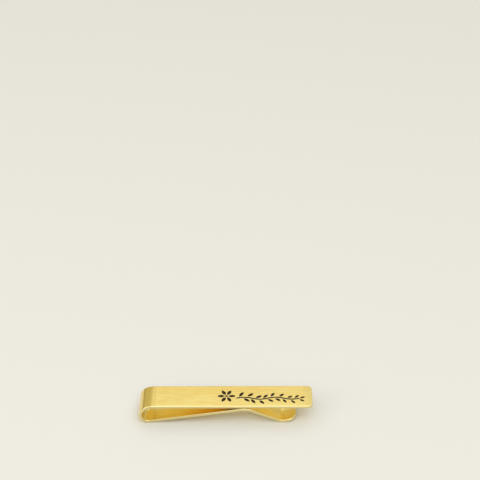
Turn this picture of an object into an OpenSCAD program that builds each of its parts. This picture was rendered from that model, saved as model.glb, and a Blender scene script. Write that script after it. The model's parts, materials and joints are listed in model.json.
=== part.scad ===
// Slide tie clip
//
// One brass strip is bent back on itself. It makes a flat front bar, a round fold at one
// end and a springing leg behind, which presses cloth against the bar's back. A flower
// and a leafy stem are cut into the front face, and black enamel fills the cuts.
//
// The bar lies along X, with the fold at the -X end and its free end at +X. The front
// face looks up. The clip stands on the lowest line of the fold and on the leg's turned
// tip, and the origin is on that plane, below the middle of the bar.

/* [Strip] */
// Length of the clip, from the outside of the fold to the bar's free end
clip_length = 56; // [52:0.5:64]
// Width of the strip
strip_width = 9.4; // [8.4:0.1:12]
// Thickness of the strip
strip_thickness = 1.05; // [0.8:0.05:1.3]
// Radius that polishing leaves on the strip's edges
edge_radius = 0.25; // [0.1:0.05:0.25]
// Radius of the two corners at the bar's free end
bar_corner_radius = 1.4; // [0.6:0.1:3]

/* [Fold] */
// Outer radius of the fold's front half, next to the bar
fold_front_radius = 4.4; // [3.6:0.1:5.4]
// Outer radius of the fold's back half, next to the leg
fold_back_radius = 3; // [2.4:0.1:3.6]

/* [Leg] */
// Distance from the bar's free end to the leg's crest
crest_inset = 22; // [20:0.5:26]
// Distance from the bar's free end to the leg's end
leg_inset = 5; // [3:0.5:6]
// Radius of the crest, on the leg's under side
crest_radius = 6; // [3:0.5:6.5]
// Radius of the turned tip, on the leg's under side
tip_radius = 4; // [2:0.5:4.5]
// Angle at which the end of the tip looks up, in degrees
tip_lift = 12; // [4:1:16]
// Straight stretch between the turned tip and the rounded end
tip_run = 0.4; // [0.2:0.1:1]
// Radius of the two corners at the leg's end
leg_corner_radius = 3.2; // [1:0.1:3.8]
// Gap between the crest and the bar's back, with the clip empty
grip_gap = 0.2; // [0.1:0.05:0.5]

/* [Engraving] */
// Depth of the cuts in the front face
cut_depth = 0.15; // [0.1:0.01:0.25]
// How far the enamel lies below the front face
enamel_sink = 0.04; // [0.02:0.01:0.06]
// Distance from the bar's free end to the end of the stem's last leaf
engraving_inset = 2.2; // [1.8:0.1:4]
// Distance from the bar's middle line down to the stem
stem_drop = 1; // [0.4:0.1:1.2]
// Length of one wave of the stem, from one crossing of its line to the next
wave_length = 5.1; // [4.4:0.1:5.4]
// Height of one wave
wave_height = 0.42; // [0.2:0.02:0.6]
// Number of waves
wave_count = 4; // [2:1:4]
// Thickness of the stem
stem_width = 0.54; // [0.3:0.02:0.6]
// Number of leaves along one wave
leaves_per_wave = 4; // [2:1:4]
// Length of the first leaf
leaf_length = 2.5; // [1.4:0.1:2.6]
// Width of the first leaf
leaf_width = 1.05; // [0.6:0.05:1.15]
// Angle between a leaf and the stem, in degrees
leaf_angle = 42; // [30:1:55]
// Number of petals of the flower
petal_count = 6; // [5:1:7]
// Length of a petal
petal_length = 2.3; // [1.4:0.1:2.4]
// Width of a petal
petal_width = 1.15; // [0.6:0.05:1.25]
// Radius of the flower's round middle
flower_eye_radius = 0.44; // [0.2:0.02:0.5]
// Bare metal left between two neighbouring cuts
cut_spacing = 0.18; // [0.12:0.02:0.3]

/* [Hidden] */
$fn = 96;

// Length of the last leaf, as a share of the first one's
last_leaf_share = 0.72;
// How far cuts run past the face that they open
overrun = 0.2;
// Turn between two neighbouring sections of the leg, in degrees
bend_step = 4;
// Flat steps around one rounded edge of the leg, and around its rounded end
edge_steps = 4;
end_steps = 10;
// Flat steps along one wave of the stem
wave_steps = 10;

clip_depth = fold_front_radius + fold_back_radius;
free_end = clip_length / 2;

// The side view's points are [x, z]. The leg's under side is a chain of straight lines
// and circles that touch: the fold's back half, the crest and the turned tip.
fold_front_centre = [fold_front_radius - clip_length / 2, fold_back_radius];
fold_back_centre = [fold_back_radius - clip_length / 2, fold_back_radius];
crest_centre = [
  free_end - crest_inset,
  clip_depth - 2 * strip_thickness - grip_gap - crest_radius
];
tip_flat = tip_run + leg_corner_radius;
tip_centre = [
  free_end - leg_inset - tip_flat * cos(tip_lift) - tip_radius * sin(tip_lift),
  tip_radius
];

rise = crest_centre - fold_back_centre;
fall = tip_centre - crest_centre;
rise_angle = atan2(rise.y, rise.x) + asin((fold_back_radius + crest_radius) / norm(rise));
fall_angle = atan2(fall.y, fall.x) - asin((crest_radius + tip_radius) / norm(fall));

// The flower's size, the engraving's places along the bar, and the radius of a wave
flower_radius = flower_eye_radius + cut_spacing + petal_length;
stem_end = free_end - engraving_inset - leaf_length * last_leaf_share - cut_spacing;
stem_start = stem_end - wave_count * wave_length;
flower_x = stem_start - cut_spacing - flower_radius;
wave_radius = (pow(wave_length / 2, 2) + pow(wave_height, 2)) / (2 * wave_height);
leaf_count = wave_count * leaves_per_wave;
leaf_pitch = wave_length / leaves_per_wave;

// Unit direction that a path takes at a heading, and the one to its left
function ahead(heading) = [cos(heading), sin(heading)];
function leftward(heading) = [-sin(heading), cos(heading)];

// Sections of the leg around a bend, as [point of the under side, heading, way left to the
// end]. A bend that turns left has its centre on the path's left, and so above the leg.
function bend_sections(centre, radius, from, to) =
  let (steps = ceil(abs(to - from) / bend_step), side = to > from ? -1 : 1)
  [for (i = [0 : steps]) let (heading = from + (to - from) * i / steps)
    [centre + side * radius * leftward(heading), heading, tip_flat]];

// Distance from a round end of a given radius, at a share of its quarter turn
function round_off(radius, share) = radius * (1 - sin(90 * share));
end_ways = concat(
  [for (i = [0 : end_steps]) let (way = round_off(leg_corner_radius, i / end_steps))
    if (way > edge_radius) way],
  [for (i = [0 : edge_steps]) round_off(edge_radius, i / edge_steps)]
);

// How far a rounding of a given radius draws a side in, at a distance from the end
function drawn_in(radius, way) =
  way < radius ? radius - sqrt(pow(radius, 2) - pow(radius - way, 2)) : 0;

// Points around one section of the leg
function section_points(section) =
  let (
    way = section[2],
    inset = drawn_in(edge_radius, way),
    corner = edge_radius - inset / 2,
    half_width = strip_width / 2 - drawn_in(leg_corner_radius, way) - inset - corner,
    half_thickness = strip_thickness / 2 - inset - corner
  )
  [for (turn = [0 : 90 : 270], i = [0 : edge_steps])
    let (
      angle = turn + 90 * i / edge_steps,
      y = sign(cos(turn + 45)) * half_width + corner * cos(angle),
      height = strip_thickness / 2 + sign(sin(turn + 45)) * half_thickness + corner * sin(angle),
      point = section[0] + height * leftward(section[1])
    )
    [point.x, y, point.y]];

// Which way the stem bulges on a wave: up on even waves, down on odd ones
function bulge(wave) = wave % 2 == 0 ? 1 : -1;

// Height of the stem's middle above its line, and its slope, at a distance from its start
function wave_at(s) = min(floor(s / wave_length), wave_count - 1);
function from_top(s) = s - (wave_at(s) + 1 / 2) * wave_length;
function stem_y(s) =
  bulge(wave_at(s)) * (sqrt(pow(wave_radius, 2) - pow(from_top(s), 2)) - wave_radius + wave_height);
function stem_slope(s) = -bulge(wave_at(s)) * asin(from_top(s) / wave_radius);

// Leaves grow shorter along the stem
function leaf_share(i) = 1 - (1 - last_leaf_share) * i / leaf_count;

// Cross-section of the strip: thickness along X from 0, width along Y
module strip_section() {
  straight_width = strip_width - 2 * edge_radius;
  straight_thickness = strip_thickness - 2 * edge_radius;
  union() {
    translate([0, -straight_width / 2]) square([strip_thickness, straight_width]);
    translate([edge_radius, -strip_width / 2]) square([straight_thickness, strip_width]);
    for (x = [edge_radius, strip_thickness - edge_radius], y = [-1, 1])
      translate([x, y * straight_width / 2]) circle(edge_radius);
  }
}

// Cross-section from a corner's axis out to its rounded rim: reach along X, thickness along Y
module rim_section(reach) {
  union() {
    square([reach - edge_radius, strip_thickness]);
    translate([0, edge_radius]) square([reach, strip_thickness - 2 * edge_radius]);
    for (y = [edge_radius, strip_thickness - edge_radius])
      translate([reach - edge_radius, y]) circle(edge_radius);
  }
}

// The stretches below start at the origin, head along +X and lie on the plane z = 0.

// Straight stretch of strip
module strip_run(length) {
  translate([length, 0, 0]) rotate([0, -90, 0]) linear_extrude(length) strip_section();
}

// Stretch that bends upwards. The radius is that of its under side.
module bend_up(angle, radius) {
  translate([0, 0, radius]) rotate([90, 0, 0]) rotate([0, 0, -90])
    rotate_extrude(angle = angle) translate([radius - strip_thickness, 0]) strip_section();
}

// End of a strip, as long as the radius of its two corners
module strip_end(corner) {
  side = strip_width / 2 - corner;
  union() {
    translate([0, side, 0]) rotate([90, 0, 0]) linear_extrude(2 * side) rim_section(corner);
    for (y = [0, 1])
      mirror([0, y, 0]) translate([0, side, 0]) rotate_extrude(angle = 90) rim_section(corner);
  }
}

// Puts a stretch at a point of the side view, at a heading
module place(point, heading) {
  translate([point.x, 0, point.y]) rotate([0, -heading, 0]) children();
}

// Pointed leaf along +X, with its foot at the origin: where two round discs overlap
module leaf(length, width) {
  radius = (pow(length, 2) + pow(width, 2)) / (4 * width);
  intersection() {
    translate([length / 2, radius - width / 2]) circle(radius);
    translate([length / 2, width / 2 - radius]) circle(radius);
  }
}

// The stem, one wave after another
module stem_shape() {
  points = [for (i = [0 : wave_count * wave_steps])
    let (s = i * wave_length / wave_steps)
    [[s, stem_y(s)], stem_width / 2 * leftward(stem_slope(s))]];
  polygon(concat(
    [for (i = [0 : len(points) - 1]) points[i][0] - points[i][1]],
    [for (i = [len(points) - 1 : -1 : 0]) points[i][0] + points[i][1]]
  ));
}

module flower_shape() {
  circle(flower_eye_radius);
  for (i = [0 : petal_count - 1])
    rotate(i * 360 / petal_count) translate([flower_eye_radius + cut_spacing, 0])
      leaf(petal_length, petal_width);
}

// Leaves stand on both sides of the stem by turns, and the last one ends it
module leaves_shape() {
  for (i = [0 : leaf_count - 1]) {
    s = (i + 1 / 2) * leaf_pitch;
    side = i % 2 == 0 ? 1 : -1;
    size = leaf_share(i);
    translate([s, stem_y(s)]) rotate(stem_slope(s) + side * leaf_angle)
      translate([(stem_width / 2 + cut_spacing) / sin(leaf_angle), 0])
        leaf(size * leaf_length, size * leaf_width);
  }
  end = wave_count * wave_length;
  translate([end, 0]) rotate(stem_slope(end)) translate([cut_spacing, 0])
    leaf(last_leaf_share * leaf_length, last_leaf_share * leaf_width);
}

// The three cuts, filled from the bottom up to a height
module flower_cut(height) {
  translate([flower_x, 0, clip_depth - cut_depth]) linear_extrude(height) flower_shape();
}

module stem_cut(height) {
  translate([stem_start, -stem_drop, clip_depth - cut_depth])
    linear_extrude(height) stem_shape();
}

module leaves_cut(height) {
  translate([stem_start, -stem_drop, clip_depth - cut_depth])
    linear_extrude(height) leaves_shape();
}

module front_bar() {
  color([0.95, 0.83, 0.49])
    difference() {
      union() {
        translate([free_end - bar_corner_radius, 0, clip_depth - strip_thickness])
          strip_end(bar_corner_radius);
        translate([fold_front_centre.x, 0, clip_depth - strip_thickness])
          strip_run(free_end - bar_corner_radius - fold_front_centre.x);
        place([fold_front_centre.x, clip_depth], 180) bend_up(90, fold_front_radius);
        place([-free_end, fold_back_radius], 270) bend_up(90, fold_back_radius);
      }
      flower_cut(cut_depth + overrun);
      stem_cut(cut_depth + overrun);
      leaves_cut(cut_depth + overrun);
    }
}

// The leg is one skin over all its sections, closed at both ends
module spring_leg() {
  sections = concat(
    bend_sections(fold_back_centre, fold_back_radius, 0, rise_angle),
    bend_sections(crest_centre, crest_radius, rise_angle, fall_angle),
    bend_sections(tip_centre, tip_radius, fall_angle, tip_lift),
    [for (way = end_ways)
      [tip_centre - tip_radius * leftward(tip_lift) + (tip_flat - way) * ahead(tip_lift),
        tip_lift, way]]
  );
  around = 4 * (edge_steps + 1);
  last = len(sections) - 1;
  color([0.88, 0.75, 0.42])
    polyhedron(
      points = [for (section = sections) each section_points(section)],
      faces = concat(
        [[for (i = [0 : around - 1]) i]],
        [[for (i = [around - 1 : -1 : 0]) last * around + i]],
        [for (j = [0 : last - 1], i = [0 : around - 1])
          let (a = j * around + i, b = j * around + (i + 1) % around)
          each [[a, a + around, b], [b, a + around, b + around]]]
      )
    );
}

module enamel_flower() {
  color([0.09, 0.08, 0.07]) flower_cut(cut_depth - enamel_sink);
}

module enamel_stem() {
  color([0.09, 0.08, 0.07]) stem_cut(cut_depth - enamel_sink);
}

module enamel_leaves() {
  color([0.09, 0.08, 0.07]) leaves_cut(cut_depth - enamel_sink);
}

front_bar();
spring_leg();
enamel_flower();
enamel_stem();
enamel_leaves();
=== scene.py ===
# %% [markdown]
# A slide tie clip
#
# The real clip is one strip of brass. A press cuts it to length, a belt brushes its front,
# a graver cuts a flower and a leafy stem into it, and a former bends it back on itself.
# Then it is gold plated, and black enamel is rubbed into the cuts.
# This lesson makes the clip in that spirit: the strip is swept along its bent path, the
# cuts are taken out of it, and the enamel is laid in as pieces of its own.
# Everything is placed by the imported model, which is loaded first and never moved.

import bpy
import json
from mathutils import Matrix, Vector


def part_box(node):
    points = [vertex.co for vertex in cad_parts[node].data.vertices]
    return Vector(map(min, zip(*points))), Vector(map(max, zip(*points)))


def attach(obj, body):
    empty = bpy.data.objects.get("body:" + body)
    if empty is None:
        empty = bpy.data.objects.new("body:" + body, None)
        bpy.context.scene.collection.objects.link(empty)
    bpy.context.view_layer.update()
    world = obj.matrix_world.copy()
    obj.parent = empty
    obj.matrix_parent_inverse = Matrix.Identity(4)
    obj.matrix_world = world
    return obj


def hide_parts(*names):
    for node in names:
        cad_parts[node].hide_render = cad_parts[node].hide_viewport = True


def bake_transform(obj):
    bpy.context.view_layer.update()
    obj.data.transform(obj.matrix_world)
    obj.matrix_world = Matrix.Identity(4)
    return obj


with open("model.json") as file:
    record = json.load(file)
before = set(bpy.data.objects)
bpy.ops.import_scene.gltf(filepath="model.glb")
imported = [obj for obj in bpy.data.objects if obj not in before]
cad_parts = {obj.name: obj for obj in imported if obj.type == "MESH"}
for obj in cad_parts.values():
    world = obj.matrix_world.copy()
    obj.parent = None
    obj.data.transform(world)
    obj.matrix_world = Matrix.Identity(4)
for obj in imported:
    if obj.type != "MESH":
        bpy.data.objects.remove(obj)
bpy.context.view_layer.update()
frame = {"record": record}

# %% Other tools that the lesson needs
import json
from math import asin, atan2, ceil, cos, degrees, radians, sin

import bpy
from mathutils import Matrix, Vector

MM = 0.001

# %% [markdown]
# Sizes
#
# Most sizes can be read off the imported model. The bar's box gives the width, the length
# and the height of the front face. The leg's box begins at the fold's lowest line, so the
# way from there to the bar's outermost line is the radius of the fold's back half.
# The front half takes the height that is left.
# A mount of the record lies on the bar's back, and that gives the strip's thickness.

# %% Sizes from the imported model
bar_low, bar_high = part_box("front_bar")
leg_low, leg_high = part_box("spring_leg")
mounts = {mount["name"]: Vector(mount["pos_m"]) for mount in frame["record"]["mounts"]}

strip_width = bar_high.y - bar_low.y
face_height = bar_high.z
free_end = bar_high.x
leg_end = leg_high.x
seam_x = leg_low.x
strip_thickness = face_height - mounts["bar_back"].z
half_thickness = strip_thickness / 2
fold_back_radius = seam_x - bar_low.x
fold_front_radius = face_height - fold_back_radius
crest_x = mounts["bar_back"].x
print("width, thickness:", round(strip_width / MM, 3), round(strip_thickness / MM, 3))
print("fold radii:", round(fold_front_radius / MM, 3), round(fold_back_radius / MM, 3))

# %% Sizes of the bends and the corners
edge_radius = 0.25 * MM
bar_corner_radius = 1.4 * MM
leg_corner_radius = 3.2 * MM
crest_radius = 6 * MM
tip_radius = 4 * MM
tip_lift = radians(12)
tip_run = 0.4 * MM
grip_gap = 0.2 * MM

# %% [markdown]
# The strip's path
#
# Seen from the side, the strip's middle line is a chain of straight runs and round bends
# that touch. A bend is easiest to write by its heading: at every heading, the point lies
# one radius from the centre, square to the heading. Straight runs need no points of their
# own between two bends, because both bends end on the line that joins them.
# Both paths start at the fold's lowest line and end at a free end.


# %% Points of a bend and of an end
def ahead(heading):
    """Unit vector along a heading in the side view."""
    return Vector((cos(heading), 0, sin(heading)))


def leftward(heading):
    """Unit vector square to a heading, to its left."""
    return Vector((-sin(heading), 0, cos(heading)))


def bend(centre, radius, start, end, step=radians(1.5)):
    """Points of a bend from one heading to another. A left turn has its centre on the left."""
    steps = ceil(abs(end - start) / step)
    side = -1 if end > start else 1
    headings = [start + (end - start) * i / steps for i in range(steps + 1)]
    return [centre + side * radius * leftward(heading) for heading in headings]


def from_seam(heading, points, hold=0.02 * MM):
    """Hold the path straight for a hair at the seam, so that both halves end square there."""
    return [points[0], points[0] + hold * ahead(heading)] + points[1:]


def ways_to_end(corner_radius, steps=18, edge_steps=6):
    """Distances from the end at which a rounded end needs points, the longest first."""
    ways = [corner_radius * (1 - sin(radians(90 * i / steps))) for i in range(steps + 1)]
    edge_ways = [edge_radius * (1 - sin(radians(90 * i / edge_steps))) for i in range(edge_steps + 1)]
    return [way for way in ways if way > edge_radius] + edge_ways


# %% [markdown]
# A strip doesn't leave its former at once: the last degrees of the bend are wider than the
# rest, and the face begins with a gentle curve. It is only a few hundredths of a millimetre
# deep, but metal shows it as a soft step in the light. The rest of the bend is made a little
# tighter, so that it still reaches the same height.

# %% Centres and radii of the fold
back_centre = Vector((seam_x, 0, fold_back_radius))
ease_radius = 8 * MM
ease_turn = radians(9)
front_rise = fold_front_radius - half_thickness
tight_radius = (front_rise - ease_radius * (1 - cos(ease_turn))) / cos(ease_turn)
front_centre = Vector((bar_low.x + half_thickness + tight_radius, 0, fold_back_radius))
ease_centre = front_centre - (ease_radius - tight_radius) * leftward(ease_turn)
print("tight radius of the fold:", round((tight_radius + half_thickness) / MM, 3))

# %% Path of the bar and the fold
bend_hold = 0.2 * MM
bar_line = Vector((free_end, 0, face_height - half_thickness))
bar_path = bend(back_centre, fold_back_radius - half_thickness, radians(180), radians(90))
bar_path = from_seam(radians(180), bar_path)
bar_path += bend(front_centre, tight_radius, radians(90), ease_turn)[1:]
bar_path += bend(ease_centre, ease_radius, ease_turn, 0)[1:]
bar_path += [bar_path[-1] + bend_hold * ahead(0)]
bar_path += [bar_line - way * ahead(0) for way in ways_to_end(bar_corner_radius)]
print("points on the bar's path:", len(bar_path))


# %% Path of the leg
def touching_heading(start, end, radii, turn):
    """Heading of the line that touches two circles on opposite sides of it."""
    way = end - start
    return atan2(way.z, way.x) + turn * asin(radii / way.length)


crest_top = face_height - strip_thickness - grip_gap
crest_centre = Vector((crest_x, 0, crest_top - strip_thickness - crest_radius))
tip_flat = tip_run + leg_corner_radius
tip_centre = Vector((leg_end - tip_flat * cos(tip_lift) - tip_radius * sin(tip_lift), 0, tip_radius))
rise = touching_heading(back_centre, crest_centre, fold_back_radius + crest_radius, 1)
fall = touching_heading(crest_centre, tip_centre, crest_radius + tip_radius, -1)

leg_path = from_seam(0, bend(back_centre, fold_back_radius - half_thickness, 0, rise))
leg_path += bend(crest_centre, crest_radius + half_thickness, rise, fall)
leg_path += bend(tip_centre, tip_radius - half_thickness, fall, tip_lift)
leg_path += [
    leg_path[-1] + (tip_flat - way) * ahead(tip_lift) for way in ways_to_end(leg_corner_radius)
]
print("leg rises at", round(degrees(rise), 2), "and falls at", round(degrees(fall), 2), "degrees")

# %% [markdown]
# The strip's section
#
# Tumbling leaves every long edge of the strip softly rounded, and that narrow rounding
# catches more light than anything else on the clip. Each corner of the section is
# therefore a real quarter round. One more point holds it on either side, a hair away:
# without it, smooth shading would bend the light right across the flat face.


# %% Section of the strip
def strip_section(steps=8, hold=0.03 * MM):
    """Points round the section, width along X and thickness along Y."""
    points = []
    for turn, (right, up) in enumerate([(1, 1), (-1, 1), (-1, -1), (1, -1)]):
        start = radians(90 * turn)
        x = right * (strip_width / 2 - edge_radius)
        y = up * (half_thickness - edge_radius)
        angles = [start + radians(90) * i / steps for i in range(steps + 1)]
        arc = [Vector((x + edge_radius * cos(a), y + edge_radius * sin(a), 0)) for a in angles]
        before = hold * Vector((sin(start), -cos(start), 0))
        after = hold * Vector((-cos(start), -sin(start), 0))
        points += [arc[0] + before] + arc + [arc[-1] + after]
    return points


section_points = strip_section()
print("points round the section:", len(section_points))


# %% [markdown]
# Helpers for node trees
#
# A tree of nodes is a sum written as boxes and wires. These helpers keep it readable: they
# add a node and fill its sockets with numbers or wires, add a sum, start a tree with named
# inputs, or take a step that several trees share. The first ones serve materials as well.


# %% Helpers that fill and join sockets
def plug(tree, socket, value):
    """Wire a socket to another one, or set its number."""
    if isinstance(value, bpy.types.NodeSocket):
        tree.links.new(value, socket)
    else:
        socket.default_value = value


def add(tree, kind, inputs=None, **settings):
    """Add a node. Inputs are named as on the node, or numbered."""
    node = tree.nodes.new(kind)
    for name, value in settings.items():
        setattr(node, name, value)
    for socket, value in (inputs or {}).items():
        plug(tree, node.inputs[socket], value)
    return node


def calc(tree, operation, *values):
    """Add a sum of one, two or three numbers and return its result."""
    node = add(tree, "ShaderNodeMath", dict(enumerate(values)), operation=operation)
    return node.outputs[0]


def square(tree, value):
    """A number times itself."""
    return calc(tree, "POWER", value, 2)


def vector(tree, x=0, y=0, z=0):
    """Join three numbers into a vector."""
    return add(tree, "ShaderNodeCombineXYZ", {0: x, 1: y, 2: z}).outputs[0]


def split(tree, place):
    """Part a vector into its three numbers."""
    return add(tree, "ShaderNodeSeparateXYZ", {0: place}).outputs


def vector_calc(tree, operation, inputs):
    """Add a sum of vectors and return its outputs."""
    return add(tree, "ShaderNodeVectorMath", inputs, operation=operation).outputs


def start_tree(name, kind, inputs, outputs=(("Geometry", "Geometry"),)):
    """Make a node tree with named inputs and outputs."""
    tree = bpy.data.node_groups.new(name, kind)
    for label, socket in inputs:
        tree.interface.new_socket(label, in_out="INPUT", socket_type="NodeSocket" + socket)
    for label, socket in outputs:
        tree.interface.new_socket(label, in_out="OUTPUT", socket_type="NodeSocket" + socket)
    return tree, tree.nodes.new("NodeGroupInput").outputs, tree.nodes.new("NodeGroupOutput").inputs


def passed_on(given, inputs):
    """Those of a tree's own inputs that it hands on to a tree inside it."""
    return {label: given[label] for label, socket in inputs}


def use_tree(tree, group, inputs):
    """Place one tree inside another."""
    kind = "ShaderNodeGroup" if group.bl_idname == "ShaderNodeTree" else "GeometryNodeGroup"
    node = tree.nodes.new(kind)
    node.node_tree = group
    for name, value in inputs.items():
        plug(tree, node.inputs[name], value)
    return node


# %% Helpers that read a point in a Geometry Nodes tree
def position(tree):
    """Where each point is."""
    return tree.nodes.new("GeometryNodeInputPosition").outputs[0]


def number_of(tree):
    """Each point's number, from 0."""
    return tree.nodes.new("GeometryNodeInputIndex").outputs[0]


# %% Helpers for the steps that the trees share
def round_line(tree, points, radius):
    """A closed circle with a number of points."""
    circle = add(tree, "GeometryNodeCurvePrimitiveCircle", {"Resolution": points, "Radius": radius})
    return circle.outputs["Curve"]


def sweep(tree, line, section, **more):
    """Carry a section along a line, with closed ends."""
    inputs = {"Curve": line, "Profile Curve": section, "Fill Caps": True, **more}
    return add(tree, "GeometryNodeCurveToMesh", inputs).outputs[0]


def shift(tree, shape, **changes):
    """Give the points of a shape a new position or an offset."""
    return add(tree, "GeometryNodeSetPosition", {"Geometry": shape, **changes}).outputs[0]


def transform(tree, shape, **changes):
    """Move, turn or scale a whole shape."""
    return add(tree, "GeometryNodeTransform", {"Geometry": shape, **changes}).outputs[0]


def copies(tree, points, shape, **changes):
    """Put a copy of a shape on every point."""
    inputs = {"Points": points, "Instance": shape, **changes}
    return add(tree, "GeometryNodeInstanceOnPoints", inputs).outputs[0]


def put_out(tree, result, shape, material):
    """Turn the shape into one real mesh, give it its material and make it the tree's result."""
    whole = add(tree, "GeometryNodeRealizeInstances", {"Geometry": shape}).outputs[0]
    painted = add(tree, "GeometryNodeSetMaterial", {"Geometry": whole, "Material": material})
    plug(tree, result["Geometry"], painted.outputs[0])


# %% Helpers that run a Geometry Nodes tree
SHARP_ANGLE = radians(16)


def run_tree(name, tree, values):
    """Run a tree by itself and return its result as an object with a plain mesh."""
    piece = bpy.data.objects.new(name, bpy.data.meshes.new(name))
    bpy.context.scene.collection.objects.link(piece)
    modifier = piece.modifiers.new(tree.name, "NODES")
    modifier.node_group = tree
    sockets = {item.name: item.identifier for item in tree.interface.items_tree if item.in_out == "INPUT"}
    for label, value in values.items():
        modifier[sockets[label]] = value
    settle(piece)
    return piece


def settle(piece):
    """Turn a piece and its modifiers into one plain mesh, sharp only at real corners."""
    graph = bpy.context.evaluated_depsgraph_get()
    mesh = bpy.data.meshes.new_from_object(piece.evaluated_get(graph))
    piece.modifiers.clear()
    piece.data = mesh
    mesh.name = piece.name
    for slot in reversed(range(len(mesh.materials))):
        if mesh.materials[slot] is None:
            mesh.materials.pop(index=slot)
    mesh.shade_smooth()
    mesh.set_sharp_from_angle(angle=SHARP_ANGLE)
    print(piece.name, "has", len(mesh.polygons), "faces")


def line_object(name, points, closed=False):
    """Curve that a tree reads as a path or a section."""
    curve = bpy.data.curves.new(name, "CURVE")
    curve.dimensions = "3D"
    spline = curve.splines.new("POLY")
    spline.points.add(len(points) - 1)
    for target, point in zip(spline.points, points):
        target.co = (*point, 1)
    spline.use_cyclic_u = closed
    line = bpy.data.objects.new(name, curve)
    bpy.context.scene.collection.objects.link(line)
    return line


def forget(*objects):
    """Remove helper objects that are not part of the clip."""
    for item in objects:
        bpy.data.objects.remove(item)


# %% [markdown]
# A strip along a path
#
# Both halves of the strip are one rule: the section is swept along a path, and the free
# end is drawn in to a round shape. Geometry Nodes suit that, because the rule stays
# readable and both halves share it.
# Curve to Mesh does the sweep. Each path point's own place and its distance to the end are
# captured first, so the swept points still know them. Near the end, every point then moves
# towards the path: in width for the two corners, and square to the section's outline for
# the edge. At the very end the quarter rounds shrink to points, which are merged.


# %% Tree that draws a side in near the end
def drawn_in_tree():
    """How far a round corner draws a side in, at a distance from the end."""
    inputs = [("Radius", "Float"), ("Way", "Float")]
    tree, given, result = start_tree("Drawn in", "GeometryNodeTree", inputs, [("Inset", "Float")])
    radius = given["Radius"]
    back = calc(tree, "MAXIMUM", calc(tree, "SUBTRACT", radius, given["Way"]), 0)
    squares = calc(tree, "SUBTRACT", square(tree, radius), square(tree, back))
    plug(tree, result["Inset"], calc(tree, "SUBTRACT", radius, calc(tree, "SQRT", squares)))
    return tree


# %% Tree that sweeps the strip
MERGE_DISTANCE = 0.0005 * MM


def strip_tree():
    """The section swept along the path, with its far end drawn in to a round shape."""
    inputs = [
        ("Path", "Object"),
        ("Section", "Object"),
        ("Half Width", "Float"),
        ("Half Thickness", "Float"),
        ("Corner Radius", "Float"),
        ("Edge Radius", "Float"),
        ("Material", "Material"),
    ]
    tree, given, result = start_tree("Strip along a path", "GeometryNodeTree", inputs)
    path = add(tree, "GeometryNodeObjectInfo", {"Object": given["Path"]})
    section = add(tree, "GeometryNodeObjectInfo", {"Object": given["Section"]})

    known = tree.nodes.new("GeometryNodeCaptureAttribute")
    known.capture_items.new("VECTOR", "Place")
    known.capture_items.new("FLOAT", "Way")
    along = tree.nodes.new("GeometryNodeSplineParameter").outputs["Length"]
    total = add(tree, "GeometryNodeSplineLength").outputs["Length"]
    plug(tree, known.inputs["Geometry"], path.outputs["Geometry"])
    plug(tree, known.inputs["Place"], position(tree))
    plug(tree, known.inputs["Way"], calc(tree, "SUBTRACT", total, along))
    swept = sweep(tree, known.outputs["Geometry"], section.outputs["Geometry"])

    drawn = drawn_in_tree()
    way = known.outputs["Way"]
    edge_radius = given["Edge Radius"]
    corner = use_tree(tree, drawn, {"Radius": given["Corner Radius"], "Way": way}).outputs[0]
    edge = use_tree(tree, drawn, {"Radius": edge_radius, "Way": way}).outputs[0]
    away = vector_calc(tree, "SUBTRACT", {0: position(tree), 1: known.outputs["Place"]})["Vector"]
    x, y, z = split(tree, away)
    up = vector(tree, x=x, z=z)
    height = vector_calc(tree, "LENGTH", {0: up})["Value"]
    side_flat = calc(tree, "SUBTRACT", given["Half Width"], edge_radius)
    face_flat = calc(tree, "SUBTRACT", given["Half Thickness"], edge_radius)
    past_side = calc(tree, "MAXIMUM", calc(tree, "SUBTRACT", calc(tree, "ABSOLUTE", y), side_flat), 0)
    past_face = calc(tree, "MAXIMUM", calc(tree, "SUBTRACT", height, face_flat), 0)
    share = calc(tree, "DIVIDE", edge, edge_radius)
    in_width = calc(tree, "ADD", corner, calc(tree, "MULTIPLY", past_side, share))
    in_height = calc(tree, "MULTIPLY", past_face, share)
    outward = vector_calc(tree, "NORMALIZE", {0: up})["Vector"]
    lift = vector_calc(tree, "SCALE", {0: outward, "Scale": in_height})["Vector"]
    aside = vector(tree, y=calc(tree, "MULTIPLY", calc(tree, "SIGN", y), in_width))
    excess = vector_calc(tree, "ADD", {0: lift, 1: aside})["Vector"]
    inward = vector_calc(tree, "SCALE", {0: excess, "Scale": -1})["Vector"]
    shaped = shift(tree, swept, Offset=inward)
    merged = add(tree, "GeometryNodeMergeByDistance", {"Geometry": shaped, "Distance": MERGE_DISTANCE})
    put_out(tree, result, merged.outputs[0], given["Material"])
    return tree


# %% [markdown]
# The engraving
#
# The flower and the stem are real cuts, with enamel laid in them. The cut and its filling
# have one outline, so each tree below is run twice: once for the tool that cuts, which
# flares at the face and leaves a bright slanted rim, and once for the enamel, which stops
# just under the face and sinks a little in the middle, as it does when it dries.


# %% Tree that raises an outline to a solid
CUT_INPUTS = [
    ("Bottom", "Float"),
    ("Shoulder", "Float"),
    ("Top", "Float"),
    ("Flare", "Float"),
    ("Dish", "Float"),
]
DISH_RING_SHARES = ((0.78, 0.6), (0.55, 0.4))
LEVEL_TOLERANCE = 0.001 * MM


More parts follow.
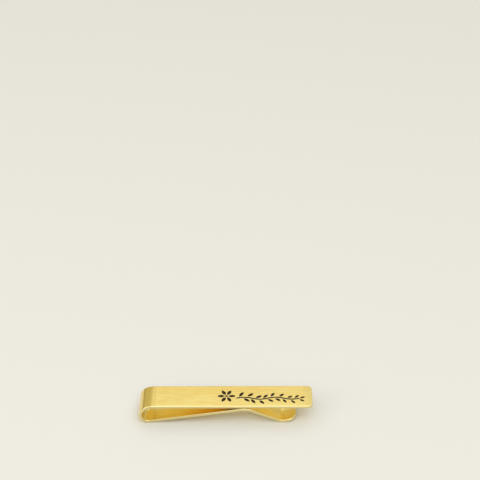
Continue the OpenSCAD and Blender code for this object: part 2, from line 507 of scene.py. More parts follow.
def raised_tree():
    """A closed solid on an outline. It may flare above its shoulder, or have a dished top."""
    inputs = [("Outline", "Geometry"), ("Half Width", "Float")] + CUT_INPUTS
    tree, given, result = start_tree("Raised outline", "GeometryNodeTree", inputs)
    ends = {"Start": vector(tree, z=given["Bottom"]), "End": vector(tree, z=given["Top"])}
    line = add(tree, "GeometryNodeCurvePrimitiveLine", ends)
    line = add(tree, "GeometryNodeResampleCurve", {"Curve": line.outputs[0], "Count": 3})
    # Of the line's three points, the middle one goes to the shoulder.
    middle = calc(tree, "COMPARE", number_of(tree), 1, 0.1)
    shoulder = vector(tree, z=given["Shoulder"])
    upright = shift(tree, line.outputs[0], Selection=middle, Position=shoulder)
    height = split(tree, position(tree))["Z"]
    above = calc(tree, "MAXIMUM", calc(tree, "SUBTRACT", height, given["Shoulder"]), 0)
    spread = calc(tree, "DIVIDE", calc(tree, "MULTIPLY", above, given["Flare"]), given["Half Width"])
    solid = sweep(tree, upright, given["Outline"], Scale=calc(tree, "ADD", 1, spread))
    top = calc(tree, "COMPARE", height, given["Top"], LEVEL_TOLERANCE)
    for size, sink in DISH_RING_SHARES:
        flat = {"Mesh": solid, "Selection": top, "Offset Scale": 0, "Individual": False}
        ring = add(tree, "GeometryNodeExtrudeMesh", flat)
        top = ring.outputs["Top"]
        inner = {"Geometry": ring.outputs["Mesh"], "Selection": top, "Scale": size}
        smaller = add(tree, "GeometryNodeScaleElements", inner)
        lower = vector(tree, z=calc(tree, "MULTIPLY", given["Dish"], -sink))
        solid = shift(tree, smaller.outputs[0], Selection=top, Offset=lower)
    plug(tree, result["Geometry"], solid)
    return tree


# %% Tree of one pointed leaf
def arc_over(tree, half_chord, rise, way):
    """Height of a round arc over its chord, at a way from the middle, and the arc's radius."""
    squares = calc(tree, "ADD", square(tree, half_chord), square(tree, rise))
    radius = calc(tree, "DIVIDE", squares, calc(tree, "MULTIPLY", rise, 2))
    above_centre = calc(tree, "SQRT", calc(tree, "SUBTRACT", square(tree, radius), square(tree, way)))
    return calc(tree, "SUBTRACT", above_centre, calc(tree, "SUBTRACT", radius, rise)), radius


def leaf_tree(raised, points=28):
    """A pointed leaf along X with its foot at the origin, where two round discs overlap."""
    inputs = [("Length", "Float"), ("Width", "Float")] + CUT_INPUTS
    tree, given, result = start_tree("Pointed leaf", "GeometryNodeTree", inputs)
    half_length = calc(tree, "DIVIDE", given["Length"], 2)
    half_width = calc(tree, "DIVIDE", given["Width"], 2)
    x, y = split(tree, position(tree))[:2]
    bulge = arc_over(tree, half_length, half_width, x)[0]
    pressed = vector(tree, x, calc(tree, "MULTIPLY", calc(tree, "SIGN", y), bulge))
    outline = shift(tree, round_line(tree, points, half_length), Position=pressed)
    values = {"Outline": outline, "Half Width": half_width, **passed_on(given, CUT_INPUTS)}
    solid = use_tree(tree, raised, values).outputs[0]
    plug(tree, result["Geometry"], transform(tree, solid, Translation=vector(tree, half_length)))
    return tree


# %% Tree of the flower
FINISH_INPUTS = [("Place", "Vector"), ("Material", "Material")]


def finish_tree(tree, given, result, parts):
    """Join the parts, put them in place and give them their material."""
    joined = tree.nodes.new("GeometryNodeJoinGeometry")
    for part in parts:
        tree.links.new(part, joined.inputs[0])
    placed = transform(tree, joined.outputs[0], Translation=given["Place"])
    put_out(tree, result, placed, given["Material"])


def turned(tree, angle):
    """Rotation about Z by an angle."""
    return add(tree, "FunctionNodeEulerToRotation", {0: vector(tree, z=angle)}).outputs[0]


def flower_tree(leaf, raised, eye_points=32):
    """Petals round an eye, each a leaf turned about the flower's middle."""
    inputs = [
        ("Petals", "Int"),
        ("Petal Length", "Float"),
        ("Petal Width", "Float"),
        ("Eye Radius", "Float"),
        ("Spacing", "Float"),
    ]
    inputs += FINISH_INPUTS + CUT_INPUTS
    tree, given, result = start_tree("Flower", "GeometryNodeTree", inputs)
    sizes = {"Length": given["Petal Length"], "Width": given["Petal Width"], **passed_on(given, CUT_INPUTS)}
    petal = use_tree(tree, leaf, sizes).outputs[0]
    eye_radius = given["Eye Radius"]
    foot = vector(tree, calc(tree, "ADD", eye_radius, given["Spacing"]))
    petal = transform(tree, petal, Translation=foot)
    points = add(tree, "GeometryNodePoints", {"Count": given["Petals"]}).outputs[0]
    step = calc(tree, "DIVIDE", radians(360), given["Petals"])
    around = turned(tree, calc(tree, "MULTIPLY", number_of(tree), step))
    petals = copies(tree, points, petal, Rotation=around)
    outline = round_line(tree, eye_points, eye_radius)
    values = {"Outline": outline, "Half Width": eye_radius, **passed_on(given, CUT_INPUTS)}
    eye = use_tree(tree, raised, values).outputs[0]
    finish_tree(tree, given, result, [petals, eye])
    return tree


# %% [markdown]
# The stem swings up and down in even waves, each a shallow round arc. Its height and its
# slope at any distance are one small tree, because the stem and the leaves both need them:
# the stem to find its own line, and a leaf to find its foot and its heading.


# %% Tree of the wave
WAVE_INPUTS = [("Wave Length", "Float"), ("Wave Height", "Float")]


def alternating(tree, number):
    """1 for an even number and -1 for an odd one."""
    odd = calc(tree, "FLOORED_MODULO", number, 2)
    return calc(tree, "SUBTRACT", 1, calc(tree, "MULTIPLY", odd, 2))


def wave_tree():
    """Height and slope of the wavy line at a distance from its start."""
    inputs = [("Distance", "Float")] + WAVE_INPUTS
    outputs = [("Height", "Float"), ("Slope", "Float")]
    tree, given, result = start_tree("Wave", "GeometryNodeTree", inputs, outputs)
    length = given["Wave Length"]
    wave = calc(tree, "FLOOR", calc(tree, "DIVIDE", given["Distance"], length))
    middle = calc(tree, "MULTIPLY", calc(tree, "ADD", wave, 0.5), length)
    from_top = calc(tree, "SUBTRACT", given["Distance"], middle)
    side = alternating(tree, wave)
    half_length = calc(tree, "DIVIDE", length, 2)
    rise, radius = arc_over(tree, half_length, given["Wave Height"], from_top)
    lean = calc(tree, "ARCSINE", calc(tree, "DIVIDE", from_top, radius))
    plug(tree, result["Height"], calc(tree, "MULTIPLY", side, rise))
    plug(tree, result["Slope"], calc(tree, "MULTIPLY", calc(tree, "MULTIPLY", side, lean), -1))
    return tree


# %% Tree of the stem
def stem_tree(wave, steps=24):
    """The profile swept along the wavy line, with a number of steps to each wave."""
    inputs = [("Profile", "Object"), ("Waves", "Int")] + WAVE_INPUTS + FINISH_INPUTS
    tree, given, result = start_tree("Stem", "GeometryNodeTree", inputs)
    whole_length = calc(tree, "MULTIPLY", given["Waves"], given["Wave Length"])
    line = add(tree, "GeometryNodeCurvePrimitiveLine", {"End": vector(tree, whole_length)})
    count = calc(tree, "ADD", calc(tree, "MULTIPLY", given["Waves"], steps), 1)
    line = add(tree, "GeometryNodeResampleCurve", {"Curve": line.outputs[0], "Count": count})
    distance = split(tree, position(tree))["X"]
    swing = use_tree(tree, wave, {"Distance": distance, **passed_on(given, WAVE_INPUTS)})
    wavy = shift(tree, line.outputs[0], Offset=vector(tree, y=swing.outputs["Height"]))
    profile = add(tree, "GeometryNodeObjectInfo", {"Object": given["Profile"]})
    swept = sweep(tree, wavy, profile.outputs["Geometry"])
    finish_tree(tree, given, result, [swept])
    return tree


# %% Tree of the leaves
def leaves_tree(leaf, wave):
    """Leaves on alternate sides of the wavy line, smaller towards its end, and one at the tip."""
    inputs = [
        ("Waves", "Int"),
        ("Leaves per Wave", "Int"),
        ("Leaf Length", "Float"),
        ("Leaf Width", "Float"),
        ("Last Leaf Share", "Float"),
        ("Leaf Angle", "Float"),
        ("Foot Gap", "Float"),
        ("End Gap", "Float"),
    ]
    inputs += WAVE_INPUTS + FINISH_INPUTS + CUT_INPUTS
    tree, given, result = start_tree("Leaves", "GeometryNodeTree", inputs)
    count = calc(tree, "MULTIPLY", given["Waves"], given["Leaves per Wave"])
    pitch = calc(tree, "DIVIDE", given["Wave Length"], given["Leaves per Wave"])
    number = number_of(tree)
    distance = calc(tree, "MULTIPLY", calc(tree, "ADD", number, 0.5), pitch)
    wave_values = passed_on(given, WAVE_INPUTS)
    swing = use_tree(tree, wave, {"Distance": distance, **wave_values})
    side = alternating(tree, number)
    heading = calc(tree, "MULTIPLY_ADD", side, given["Leaf Angle"], swing.outputs["Slope"])
    shrink = calc(tree, "SUBTRACT", 1, given["Last Leaf Share"])
    shrunk = calc(tree, "DIVIDE", calc(tree, "MULTIPLY", shrink, number), count)
    size = calc(tree, "SUBTRACT", 1, shrunk)

    sizes = {"Length": given["Leaf Length"], "Width": given["Leaf Width"], **passed_on(given, CUT_INPUTS)}
    solid = use_tree(tree, leaf, sizes).outputs[0]
    on_line = vector(tree, distance, swing.outputs["Height"])
    feet = add(tree, "GeometryNodePoints", {"Count": count, "Position": on_line}).outputs[0]
    out = vector(tree, calc(tree, "COSINE", heading), calc(tree, "SINE", heading))
    off_stem = vector_calc(tree, "SCALE", {0: out, "Scale": given["Foot Gap"]})["Vector"]
    feet = shift(tree, feet, Offset=off_stem)
    scale = vector(tree, size, size, 1)
    leaves = copies(tree, feet, solid, Rotation=turned(tree, heading), Scale=scale)

    end = calc(tree, "MULTIPLY", given["Waves"], given["Wave Length"])
    end_swing = use_tree(tree, wave, {"Distance": end, **wave_values})
    slope = end_swing.outputs["Slope"]
    gap = given["End Gap"]
    tip_foot = vector(
        tree,
        calc(tree, "ADD", end, calc(tree, "MULTIPLY", gap, calc(tree, "COSINE", slope))),
        calc(tree, "MULTIPLY", gap, calc(tree, "SINE", slope)),
    )
    share = given["Last Leaf Share"]
    scale = vector(tree, share, share, 1)
    last = transform(tree, solid, Translation=tip_foot, Rotation=turned(tree, slope), Scale=scale)
    finish_tree(tree, given, result, [leaves, last])
    return tree


# %% [markdown]
# Gold, brushed and polished
#
# The plating shows what was done to the brass below it. The belt left straight streaks
# along the strip, in three widths: hairlines that soften every reflection, fine streaks,
# and broad ones that show from further away. The tumbled edges lost their streaks, so they
# are smoother, and a paler gold is painted along them as a highlight. The former pressed
# the fold smooth, so its reflections have crisper borders than the face. Painted shade makes
# the gold a little deeper from just before the fold and all the way round it, and a little
# duller towards the free end, and painted light makes it slightly paler from the far side of
# the strip to the near one. The walls of the strip, which the press sheared, are painted a
# little darker, as shade.
# Two node groups hold the streaks and the edges, because the bar and the leg both use them.
# A belt's grit cuts straight lines, so the streaks are laid out line by line: each line has
# a noise of its own along the strip, and neighbours fade into each other. The path lies in
# the XZ plane, so a noise that reads X and Z follows the strip round its fold by itself.


# %% Helpers for materials
NOISE_RANGE = (0.3, 0.7)


def start_material(name, colour, **finish):
    """A material with its surface shader. Steady values are set on the shader itself."""
    material = bpy.data.materials.new(name)
    material.use_nodes = True
    material.diffuse_color = (*colour, 1)
    shader = material.node_tree.nodes["Principled BSDF"]
    shader.inputs["Base Color"].default_value = (*colour, 1)
    for label, value in finish.items():
        shader.inputs[label.replace("_", " ")].default_value = value
    return material, material.node_tree, shader


def mix_colour(tree, share, first, second):
    """Colour between two colours."""
    node = add(tree, "ShaderNodeMix", data_type="RGBA")
    plug(tree, node.inputs["Factor"], share)
    for socket, value in zip([i for i in node.inputs if i.type == "RGBA"], (first, second)):
        plug(tree, socket, value if isinstance(value, bpy.types.NodeSocket) else (*value, 1))
    return next(o for o in node.outputs if o.type == "RGBA")


def map_range(tree, value, old, new=(0, 1), **settings):
    """Carry a value over from one range to another."""
    inputs = {"Value": value, "From Min": old[0], "From Max": old[1], "To Min": new[0], "To Max": new[1]}
    return add(tree, "ShaderNodeMapRange", inputs, **settings).outputs["Result"]


def noise(tree, place, scale, **finish):
    """Soft random values that mostly keep to the noise range."""
    return add(tree, "ShaderNodeTexNoise", {"Vector": place, "Scale": scale, **finish}).outputs["Fac"]


def emboss(tree, shader, height, depth):
    """Let a height tilt the way the surface meets the light, and return the node for it."""
    bump = add(tree, "ShaderNodeBump", {"Height": height, "Distance": depth})
    plug(tree, shader.inputs["Normal"], bump.outputs["Normal"])
    return bump


def own_place(tree):
    """A point's place on the piece, in the frame that all pieces share."""
    return tree.nodes.new("ShaderNodeTexCoord").outputs["Object"]


# %% Group of the brushed grain
LINE_STRIDE = 17.3
LINE_FADE = (0.2, 0.8)


def grain_group():
    """Straight streaks along the strip, from 0 to 1, in lines that lie side by side."""
    inputs = [("Place", "Vector"), ("Streak Length", "Float"), ("Streak Width", "Float")]
    outputs = [("Streaks", "Float")]
    tree, given, result = start_tree("Brushed grain", "ShaderNodeTree", inputs, outputs)
    x, y, z = split(tree, given["Place"])
    line = calc(tree, "DIVIDE", y, given["Streak Width"])
    first = calc(tree, "FLOOR", line)
    way = calc(tree, "FRACT", line)
    share = map_range(tree, way, LINE_FADE, interpolation_type="SMOOTHSTEP")
    tones = []
    for number in (first, calc(tree, "ADD", first, 1)):
        spot = vector(
            tree,
            calc(tree, "DIVIDE", x, given["Streak Length"]),
            calc(tree, "MULTIPLY", number, LINE_STRIDE),
            calc(tree, "DIVIDE", z, given["Streak Length"]),
        )
        tones.append(noise(tree, spot, 1, Detail=2, Roughness=0.6))
    rest = calc(tree, "SUBTRACT", 1, share)
    second_part = calc(tree, "MULTIPLY", tones[1], share)
    plug(tree, result["Streaks"], calc(tree, "MULTIPLY_ADD", tones[0], rest, second_part))
    return tree


# %% Group of the polished rim
def rim_group():
    """1 on the strip's outline, falling to 0 over a reach. The free end is on the +X side."""
    inputs = [
        ("Place", "Vector"),
        ("End", "Float"),
        ("Half Width", "Float"),
        ("Corner Radius", "Float"),
        ("Rim Reach", "Float"),
        ("Wall Reach", "Float"),
    ]
    outputs = [("Rim", "Float"), ("Wall", "Float")]
    tree, given, result = start_tree("Polished rim", "ShaderNodeTree", inputs, outputs)
    x, y = split(tree, given["Place"])[:2]
    corner = given["Corner Radius"]
    past_x = calc(tree, "SUBTRACT", x, calc(tree, "SUBTRACT", given["End"], corner))
    straight_half = calc(tree, "SUBTRACT", given["Half Width"], corner)
    past_y = calc(tree, "SUBTRACT", calc(tree, "ABSOLUTE", y), straight_half)
    outside = vector(tree, calc(tree, "MAXIMUM", past_x, 0), calc(tree, "MAXIMUM", past_y, 0))
    round_way = vector_calc(tree, "LENGTH", {0: outside})["Value"]
    inside = calc(tree, "MINIMUM", calc(tree, "MAXIMUM", past_x, past_y), 0)
    beyond = calc(tree, "SUBTRACT", calc(tree, "ADD", round_way, inside), corner)
    for label in ("Rim", "Wall"):
        start = calc(tree, "MULTIPLY", given[label + " Reach"], -1)
        plug(tree, result[label], map_range(tree, beyond, (start, 0), interpolation_type="SMOOTHSTEP"))
    return tree


# %% Streaks, reaches and tones of the gold
HAIRLINES = {"Streak Length": 6 * MM, "Streak Width": 0.05 * MM}
FINE_STREAKS = {"Streak Length": 8 * MM, "Streak Width": 0.13 * MM}
BROAD_STREAKS = {"Streak Length": 6 * MM, "Streak Width": 0.36 * MM}
GROOVE_DEPTH = 0.004 * MM
FINE_GROOVES = 1.2
BROAD_GROOVES = 1.5

RIM_REACH = 0.42 * MM
# Reach of the painted shade on the walls, from the outline.
WALL_REACH = 0.07 * MM
POLISH_START = 1 * MM
POLISH_FULL = -0.2 * MM
# Reach of the painted shade that deepens the gold from just before the fold and round it.
FOLD_SHADE_REACH = 1.2 * MM
FOLD_SHADE_FADE = 0.2 * MM
# Reach of the painted shade that dulls the gold towards the free end.
END_SHADE_REACH = 3.6 * MM
END_SHADE_HOLD = 0.8 * MM

STREAK_TONE = 0.5
CLOUD_TONE = 0.12
CLOUDS_PER_METRE = 160
# Painted light: the face's tone is raised towards the near side of the strip and lowered towards the far
# side.
PAINTED_LIGHT_ACROSS = 0.06
TONE_RANGE = (0.44, 0.68)
# How far the painted shade at the fold and at the free end goes towards its colour.
PAINTED_SHADE_SHARE = 0.6
BRUSHED_ROUGHNESS = (0.19, 0.27)
POLISHED_SMOOTHER = -0.1
POLISHED_GROOVES = 0.1

GOLD_DEEP = (0.95, 0.70, 0.21)
GOLD_LIGHT = (1.0, 0.83, 0.32)
# Painted shade at the fold.
GOLD_PAINTED_FOLD_SHADE = (0.845, 0.64, 0.20)
# Painted shade towards the free end.
GOLD_PAINTED_END_SHADE = (0.84, 0.67, 0.26)
# Painted highlight on the edges; the cut walls take the same paler gold.
GOLD_PAINTED_HIGHLIGHT = (1.0, 0.86, 0.43)
# Painted shade on the walls of the strip.
GOLD_PAINTED_WALL_SHADE = (0.79, 0.68, 0.335)


# %% Gold of the strip
def brushed_gold(name, grain, rim, end, corner_radius):
    """Gold plating over brushed brass, with smoother edges under a painted highlight, painted shade on the
    walls, round the fold and towards the free end, painted light across the face, and a smooth fold.
    """
    material, tree, shader = start_material(name, GOLD_LIGHT, Metallic=1)
    place = own_place(tree)
    hairlines, fine, broad = [
        use_tree(tree, grain, {"Place": place, **sizes}).outputs[0]
        for sizes in (HAIRLINES, FINE_STREAKS, BROAD_STREAKS)
    ]
    edge = {
        "Place": place,
        "End": end,
        "Half Width": strip_width / 2,
        "Corner Radius": corner_radius,
        "Rim Reach": RIM_REACH,
        "Wall Reach": WALL_REACH,
    }
    bounds = use_tree(tree, rim, edge).outputs
    x, y = split(tree, place)[:2]
    folded = map_range(tree, x, (front_centre.x + POLISH_START, front_centre.x + POLISH_FULL))
    polished = calc(tree, "MAXIMUM", bounds["Rim"], folded)

    # Painted shade: the gold is deeper from just before the fold and all the way round it.
    fold_shade_edge = front_centre.x + FOLD_SHADE_REACH
    pressed = map_range(tree, x, (fold_shade_edge + FOLD_SHADE_FADE, fold_shade_edge - FOLD_SHADE_FADE), (0, PAINTED_SHADE_SHARE))
    # Painted shade: the gold is duller towards the free end.
    end_shade = map_range(tree, x, (end - END_SHADE_REACH, end - END_SHADE_HOLD), (0, PAINTED_SHADE_SHARE))
    # Painted light: paler towards the near side of the strip, deeper towards the far side.
    across = map_range(tree, y, (strip_width / 2, -strip_width / 2), (-PAINTED_LIGHT_ACROSS, PAINTED_LIGHT_ACROSS))
    cloud = calc(tree, "MULTIPLY", noise(tree, place, CLOUDS_PER_METRE, Detail=1), CLOUD_TONE)
    coarse = calc(tree, "MULTIPLY_ADD", broad, STREAK_TONE, cloud)
    tone = calc(tree, "ADD", calc(tree, "MULTIPLY_ADD", fine, STREAK_TONE, coarse), across)
    face = mix_colour(tree, map_range(tree, tone, TONE_RANGE), GOLD_DEEP, GOLD_LIGHT)
    fold_shaded = mix_colour(tree, pressed, face, GOLD_PAINTED_FOLD_SHADE)
    end_shaded = mix_colour(tree, end_shade, fold_shaded, GOLD_PAINTED_END_SHADE)
    # Painted highlight: a paler gold along the edges, where the polish is also smoother.
    edge_highlighted = mix_colour(tree, bounds["Rim"], end_shaded, GOLD_PAINTED_HIGHLIGHT)
    # Painted shade: the walls of the strip are a little darker.
    plug(tree, shader.inputs["Base Color"], mix_colour(tree, bounds["Wall"], edge_highlighted, GOLD_PAINTED_WALL_SHADE))

    brushed = map_range(tree, hairlines, NOISE_RANGE, BRUSHED_ROUGHNESS)
    smoother = calc(tree, "MULTIPLY_ADD", polished, POLISHED_SMOOTHER, brushed)
    plug(tree, shader.inputs["Roughness"], smoother)
    grooves = calc(tree, "MULTIPLY_ADD", fine, FINE_GROOVES, hairlines)
    grooves = calc(tree, "MULTIPLY_ADD", broad, BROAD_GROOVES, grooves)
    bump = emboss(tree, shader, grooves, GROOVE_DEPTH)
    plug(tree, bump.inputs["Strength"], map_range(tree, polished, (0, 1), (1, POLISHED_GROOVES)))
    return material


# %% [markdown]
# Cut gold and black enamel
#
# No belt touched the walls of the cuts, so their gold is smooth and has no streaks; they
# also take the paler gold that is painted on the edges as a highlight. A plain black would
# do for the enamel from far away, but a hand-rubbed filling is never quite even: a broad
# noise turns it brownish in places, and a fine one pits its surface and breaks its shine.


# %% Bright gold of the cuts
CHATTER_PER_METRE = 9000
CHATTER_DEPTH = 0.002 * MM
CUT_ROUGHNESS = (0.12, 0.22)


def bright_gold(name):
    """Freshly cut metal: no streaks, only the faint chatter of the graver."""
    # The base colour is the paler gold that is painted on the edges as a highlight.
    material, tree, shader = start_material(name, GOLD_PAINTED_HIGHLIGHT, Metallic=1)
    chatter = noise(tree, own_place(tree), CHATTER_PER_METRE, Detail=1)
    plug(tree, shader.inputs["Roughness"], map_range(tree, chatter, NOISE_RANGE, CUT_ROUGHNESS))
    emboss(tree, shader, chatter, CHATTER_DEPTH)
    return material


# %% Black enamel
ENAMEL_BLACK = (0.018, 0.010, 0.004)
ENAMEL_BROWN = (0.042, 0.022, 0.006)
POOLS_PER_METRE = 900
POOL_RANGE = (0.35, 0.65)
PITS_PER_METRE = 6000
PIT_DEPTH = 0.003 * MM
ENAMEL_ROUGHNESS = (0.22, 0.42)


def black_enamel(name):
    """Hand-rubbed enamel, black in its pools and brownish between them, with fine pits."""
    material, tree, shader = start_material(name, ENAMEL_BLACK, IOR=1.4, Specular_IOR_Level=0.2)
    place = own_place(tree)
    pools = noise(tree, place, POOLS_PER_METRE, Detail=2)
    pits = noise(tree, place, PITS_PER_METRE, Detail=2)
    colour = mix_colour(tree, map_range(tree, pools, POOL_RANGE), ENAMEL_BLACK, ENAMEL_BROWN)
    plug(tree, shader.inputs["Base Color"], colour)
    plug(tree, shader.inputs["Roughness"], map_range(tree, pits, NOISE_RANGE, ENAMEL_ROUGHNESS))
    emboss(tree, shader, pits, PIT_DEPTH)
    return material


# %% Make the materials
grain = grain_group()
rim = rim_group()
bar_gold = brushed_gold("brushed_gold_bar", grain, rim, free_end, bar_corner_radius)
leg_gold = brushed_gold("brushed_gold_leg", grain, rim, leg_end, leg_corner_radius)
cut_gold = bright_gold("bright_cut_gold")
enamel = black_enamel("rubbed_enamel")
print("materials:", [material.name for material in (bar_gold, leg_gold, cut_gold, enamel)])

# %% [markdown]
# Making the strip
#
# The bar and the leg are the same tree, run with paths and corners of their own.

# %% Sweep the bar and the leg
strip_along_path = strip_tree()
section_line = line_object("strip_section", section_points, closed=True)


def make_strip(name, path, corner_radius, material):
    """One half of the strip as a plain mesh."""
    path_line = line_object(name + "_path", path)
    values = {
        "Path": path_line,
        "Section": section_line,
        "Half Width": strip_width / 2,
        "Half Thickness": half_thickness,
        "Corner Radius": corner_radius,
        "Edge Radius": edge_radius,
        "Material": material,
    }
    strip = run_tree(name, strip_along_path, values)
    forget(path_line)
    return strip


bar_strip = make_strip("bar_strip", bar_path, bar_corner_radius, bar_gold)
leg_strip = make_strip("leg_strip", leg_path, leg_corner_radius, leg_gold)
forget(section_line)

# %% [markdown]
# Making the engraving
#
# The sizes below are those of the flower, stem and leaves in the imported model. The same trees
# make the cutting tools and the enamel. A Boolean modifier takes each tool out of the bar,
# and it hands the tool's bright gold on to the walls of the cut.

# %% Sizes of the engraving
cut_depth = 0.15 * MM
cut_rim = 0.015 * MM
cut_overrun = 0.01 * MM
enamel_sink = 0.04 * MM
enamel_dish = 0.02 * MM
cut_spacing = 0.18 * MM
engraving_inset = 2.2 * MM
stem_drop = 1 * MM
stem_width = 0.54 * MM
wave_length = 5.1 * MM
wave_height = 0.42 * MM
wave_count = 4
leaves_per_wave = 4
leaf_length = 2.5 * MM
leaf_width = 1.05 * MM
leaf_angle = radians(42)
last_leaf_share = 0.72
petal_count = 6
petal_length = 2.3 * MM
petal_width = 1.15 * MM
flower_eye_radius = 0.44 * MM

stem_length = wave_count * wave_length
stem_end = free_end - engraving_inset - leaf_length * last_leaf_share - cut_spacing
stem_start = stem_end - stem_length
flower_x = stem_start - 2 * cut_spacing - petal_length - flower_eye_radius
flower_place = Vector((flower_x, 0, face_height))
stem_place = Vector((stem_start, -stem_drop, face_height))
print("flower at", round(flower_x / MM, 2), "and stem from", round(stem_start / MM, 2))

# %% Heights of the cut and of the enamel, from the face down
cutting = {
    "Bottom": -cut_depth,
    "Shoulder": -cut_rim,
    "Top": cut_overrun,
    "Flare": 1,
    "Dish": 0,
}
filling = {
    "Bottom": -cut_depth,
    "Shoulder": -(cut_depth + enamel_sink) / 2,
    "Top": -enamel_sink,
    "Flare": 0,
    "Dish": enamel_dish,
}


def stem_profile(heights):
    """Outline of the stem across its line, with the same flare and dish as the leaves.

    The sweep lays a profile's Y along the way down, so heights are written as depths, and
    the points run the other way round, which turns the solid's faces outwards."""
    half = stem_width / 2
    wide = half + heights["Flare"] * (heights["Top"] - heights["Shoulder"])
    right = [(half, heights["Bottom"]), (half, heights["Shoulder"]), (wide, heights["Top"])]
    middle = [(0, heights["Top"] - heights["Dish"])]
    left = [(-x, y) for x, y in reversed(right)]
    return [Vector((x, -y, 0)) for x, y in reversed(right + middle + left)]


# %% Trees of the engraving
raised = raised_tree()
leaf = leaf_tree(raised)
wave = wave_tree()
flower = flower_tree(leaf, raised)
stem = stem_tree(wave)
leaves = leaves_tree(leaf, wave)
wave_sizes = {"Wave Length": wave_length, "Wave Height": wave_height, "Waves": wave_count}
flower_sizes = {
    "Petals": petal_count,
    "Petal Length": petal_length,
    "Petal Width": petal_width,
    "Eye Radius": flower_eye_radius,
    "Spacing": cut_spacing,
    "Place": flower_place,
}
leaf_sizes = {
    "Leaves per Wave": leaves_per_wave,
    "Leaf Length": leaf_length,
    "Leaf Width": leaf_width,
    "Last Leaf Share": last_leaf_share,
    "Leaf Angle": leaf_angle,
    "Foot Gap": (stem_width / 2 + cut_spacing) / sin(leaf_angle),
    "End Gap": cut_spacing,
    "Place": stem_place,
}
print("trees:", [tree.name for tree in (raised, leaf, wave, flower, stem, leaves)])


# %% Run the trees for the cuts and for the enamel
def engraving(ending, heights, material):
    """The flower, the stem and the leaves as three solids."""
    profile = line_object("stem_profile", stem_profile(heights), closed=True)
    stem_values = {"Profile": profile, "Place": stem_place, **wave_sizes}
    solids = [
        run_tree("flower_" + ending, flower, {**flower_sizes, **heights, "Material": material}),
        run_tree("stem_" + ending, stem, {**stem_values, "Material": material}),
        run_tree("leaf_" + ending, leaves, {**wave_sizes, **leaf_sizes, **heights, "Material": material}),
    ]
    forget(profile)
    return solids


cutters = engraving("cutter", cutting, cut_gold)
fills = engraving("enamel", filling, enamel)

# %% [markdown]
# A Boolean compares points with a fixed tolerance that suits pieces of about a metre. The
# finest steps of a cut are hundredths of a millimetre, so bar and tools are made a thousand
# times larger for the cut, and the bar is brought back to size afterwards.

# %% Cut the bar
for enlarged in (bar_strip, *cutters):
    enlarged.data.transform(Matrix.Scale(1 / MM, 4))
for cutter in cutters:
    cut = bar_strip.modifiers.new(cutter.name, "BOOLEAN")
    cut.object = cutter
    cut.operation = "DIFFERENCE"
    cut.solver = "EXACT"
    cut.material_mode = "TRANSFER"
settle(bar_strip)
bar_strip.data.transform(Matrix.Scale(MM, 4))
forget(*cutters)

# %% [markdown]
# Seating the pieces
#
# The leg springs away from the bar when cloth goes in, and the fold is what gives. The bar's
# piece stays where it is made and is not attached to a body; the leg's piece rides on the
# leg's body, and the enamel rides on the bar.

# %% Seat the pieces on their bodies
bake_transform(bar_strip)
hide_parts("front_bar")
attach(leg_strip, "leg")
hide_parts("spring_leg")
for fill, node in zip(fills, ("enamel_flower", "enamel_stem", "enamel_leaves")):
    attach(fill, "bar")
    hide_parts(node)
print("pieces:", [piece.name for piece in (bar_strip, leg_strip, *fills)])

# %% [markdown]
# Floor and light
#
# Polished metal shows what stands around it, so the light is designed as a room: a pale
# floor, a dim wall that is darkest at the horizon, and a bright ceiling. The ceiling is
# brightest at the height that the flat face mirrors, which turns the face an even gold,
# and eases off towards the zenith. The fold sweeps past the wall, the horizon and the
# floor, and that is what makes it look round. Two softboxes draw the highlight of the near
# edge: one before and above the clip for the straight run, and a lower one on the left
# for the fold. Between them the highlight pauses, as it does in the photograph.

# %% Floor
FLOOR_COLOUR = (0.82, 0.82, 0.81)
floor_half = 3
corners = [(-1, -1), (1, -1), (1, 1), (-1, 1)]
floor_mesh = bpy.data.meshes.new("floor")
floor_mesh.from_pydata([(x * floor_half, y * floor_half, 0) for x, y in corners], [], [(0, 1, 2, 3)])
floor = bpy.data.objects.new("floor", floor_mesh)
bpy.context.scene.collection.objects.link(floor)
floor_mesh.materials.append(start_material("pale_floor", FLOOR_COLOUR, Roughness=0.7)[0])
print("floor:", 2 * floor_half, "m wide")

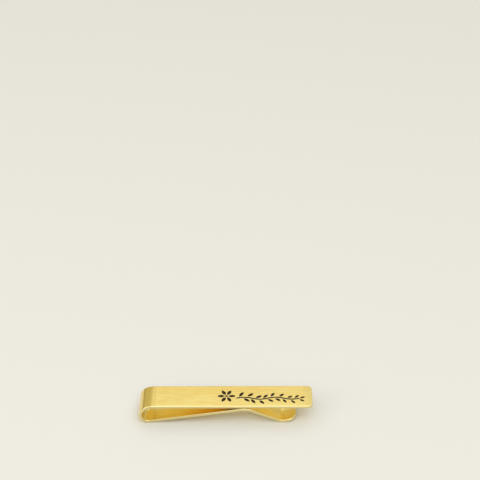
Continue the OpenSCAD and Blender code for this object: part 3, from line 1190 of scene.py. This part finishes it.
# %% Room light, by degrees above the horizon
ROOM_STOPS = (
    (0, (0.37, 0.335, 0.225)),
    (9, (0.52, 0.475, 0.34)),
    (18, (0.63, 0.58, 0.40)),
    (42.4, (0.63, 0.58, 0.40)),
    (45, (1.21, 1.22, 1.21)),
    (52, (1.02, 1.02, 1.02)),
    (90, (0.86, 0.86, 0.86)),
)
world = bpy.data.worlds.new("studio")
world.use_nodes = True
bpy.context.scene.world = world
room = world.node_tree
direction = room.nodes.new("ShaderNodeTexCoord").outputs["Generated"]
ramp = add(room, "ShaderNodeValToRGB", {0: split(room, direction)["Z"]})
stops = ramp.color_ramp.elements
for number, (height, colour) in enumerate(ROOM_STOPS):
    up = sin(radians(height))
    stop = stops[number] if number < 2 else stops.new(up)
    stop.position = up
    stop.color = (*colour, 1)
plug(room, room.nodes["Background"].inputs["Color"], ramp.outputs["Color"])
print("the room's light has", len(stops), "stops")


# %% Two softboxes
def softbox(name, place, size, power):
    """A square lamp that looks at the clip."""
    lamp = bpy.data.lights.new(name, "AREA")
    lamp.shape = "SQUARE"
    lamp.size = size
    lamp.energy = power
    box = bpy.data.objects.new(name, lamp)
    box.location = place
    box.rotation_mode = "QUATERNION"
    box.rotation_quaternion = Vector(place).to_track_quat("Z", "Y")
    bpy.context.scene.collection.objects.link(box)
    print(name, "stands", round(Vector(place).length, 2), "m away")


softbox("front_softbox", place=(0.1, -0.42, 0.75), size=0.7, power=1.7)
softbox("left_softbox", place=(-0.66, -0.38, 0.47), size=0.5, power=1.1)

# %% [markdown]
# Camera
#
# The camera stands where the photographer's stood. Its place is given by the way it looks
# at the middle of the front face, and one more turn puts that middle on its own pixel of
# the photograph's square frame, so the picture needs no shift.

# %% Camera
photo_side = 480
face_pixel = (225.5, 396.0)
view_distance = 400 * MM
view_azimuth = radians(1.4)
view_elevation = radians(44.5)
view_roll = radians(-1.04)
view_lens = 92.15

camera_data = bpy.data.cameras.new("camera")
camera_data.lens = view_lens
camera_data.clip_start = 0.01
camera = bpy.data.objects.new("camera", camera_data)
bpy.context.scene.collection.objects.link(camera)
bpy.context.scene.camera = camera

level_share = cos(view_elevation)
toward = Vector((sin(view_azimuth) * level_share, -cos(view_azimuth) * level_share, sin(view_elevation)))
right = Vector((0, 0, 1)).cross(toward).normalized()
aimed = Matrix((right, toward.cross(right), toward)).transposed() @ Matrix.Rotation(view_roll, 3, "Z")
focal_pixels = view_lens / camera_data.sensor_width * photo_side
half_side = photo_side / 2
ray = Vector((face_pixel[0] - half_side, half_side - face_pixel[1], -focal_pixels))
turn = ray.rotation_difference(Vector((0, 0, -1)))
camera.rotation_mode = "QUATERNION"
camera.rotation_quaternion = (aimed @ turn.to_matrix()).to_quaternion()
camera.location = Vector((0, 0, face_height)) + view_distance * toward
bpy.context.scene.view_settings.view_transform = "Standard"
print("camera at", [round(x / MM, 1) for x in camera.location], "mm")
